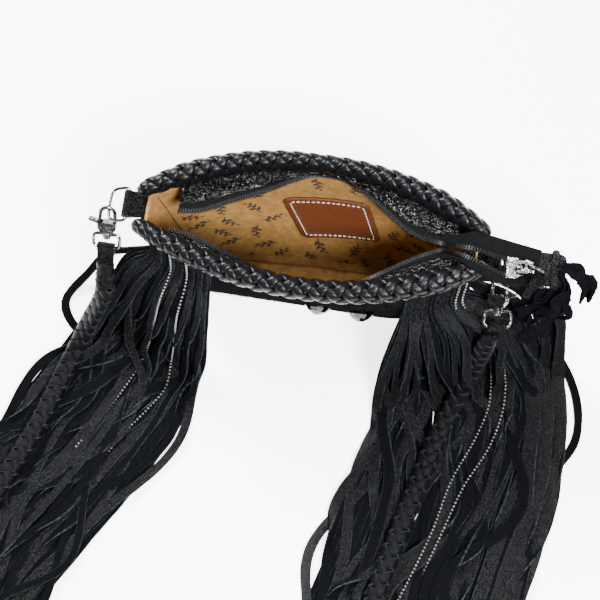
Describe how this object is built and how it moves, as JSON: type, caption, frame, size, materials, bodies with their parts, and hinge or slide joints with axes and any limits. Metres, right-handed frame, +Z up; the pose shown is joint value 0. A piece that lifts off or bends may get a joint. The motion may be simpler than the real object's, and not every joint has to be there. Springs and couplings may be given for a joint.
{
  "type": "fringe crossbody bag",
  "caption": "Small black leather crossbody bag with braided rims, tan suede lining, zip with a free tail, long side fringes, ball chains and a braided clip-on strap.",
  "frame": {"origin": "middle of the flat base, on the surface that the bag stands on", "axes": "+Z up, +X towards the right end with the zip's tail, -Y towards the front and its fringes"},
  "size_m": [0.5446, 0.6151, 0.1892],
  "materials": {
    "hair_hide": "short black hair",
    "black_leather": "semi-gloss",
    "tan_suede": "suede",
    "cognac_leather": "smooth",
    "black_tape": "woven",
    "black_suede": "suede",
    "silver": "polished"
  },
  "bodies": {
    "bag": {"front_panel": "hair_hide", "back_panel": "black_leather", "gusset": "black_leather", "front_rim": "black_leather", "back_rim": "black_leather", "zip_facing_front": "black_leather", "zip_facing_back": "black_leather", "zip_end_tab": "black_leather", "tab_left": "black_leather", "tab_right": "black_leather", "strap_end_left": "black_leather", "strap_end_right": "black_leather", "strap": "black_leather", "lining": "tan_suede", "label_patch": "cognac_leather", "zip_tape_front": "black_tape", "zip_tape_back": "black_tape", "zip_end_lace": "black_suede", "fringe_left": "black_suede", "fringe_right": "black_suede", "zip_slider": "silver", "d_ring_left": "silver", "d_ring_right": "silver", "snap_hook_left": "silver", "snap_hook_right": "silver", "snap_eye_left": "silver", "snap_eye_right": "silver", "ball_chain_left_a": "silver", "ball_chain_left_b": "silver", "ball_chain_right_a": "silver", "ball_chain_right_b": "silver", "concho_a": "silver", "concho_b": "silver"},
    "lever_left": {"snap_lever_left": "silver"},
    "lever_right": {"snap_lever_right": "silver"},
    "zip_pull": {"zip_pull": "silver", "zip_pull_ring": "silver", "zip_pull_leather": "black_leather"}
  },
  "joints": [
    {"name": "lever_left_hinge", "type": "hinge", "parent": "bag", "child": "lever_left", "pos_m": [-0.16962, -0.00766, 0.13272], "axis": [0, 0.769, -0.6392], "range_deg": [0, 20], "stiffness_Nm_per_rad": 0.05, "springref_deg": -11.46},
    {"name": "lever_right_hinge", "type": "hinge", "parent": "bag", "child": "lever_right", "pos_m": [0.1388, -0.02858, 0.1389], "axis": [-0.4502, -0.2946, 0.8429], "range_deg": [0, 20], "stiffness_Nm_per_rad": 0.05, "springref_deg": -11.46},
    {"name": "zip_pull_hinge", "type": "hinge", "parent": "bag", "child": "zip_pull", "pos_m": [0.1415, -0.0146, 0.1749], "axis": [0, -1, 0], "range_deg": [0, 70]}
  ]
}
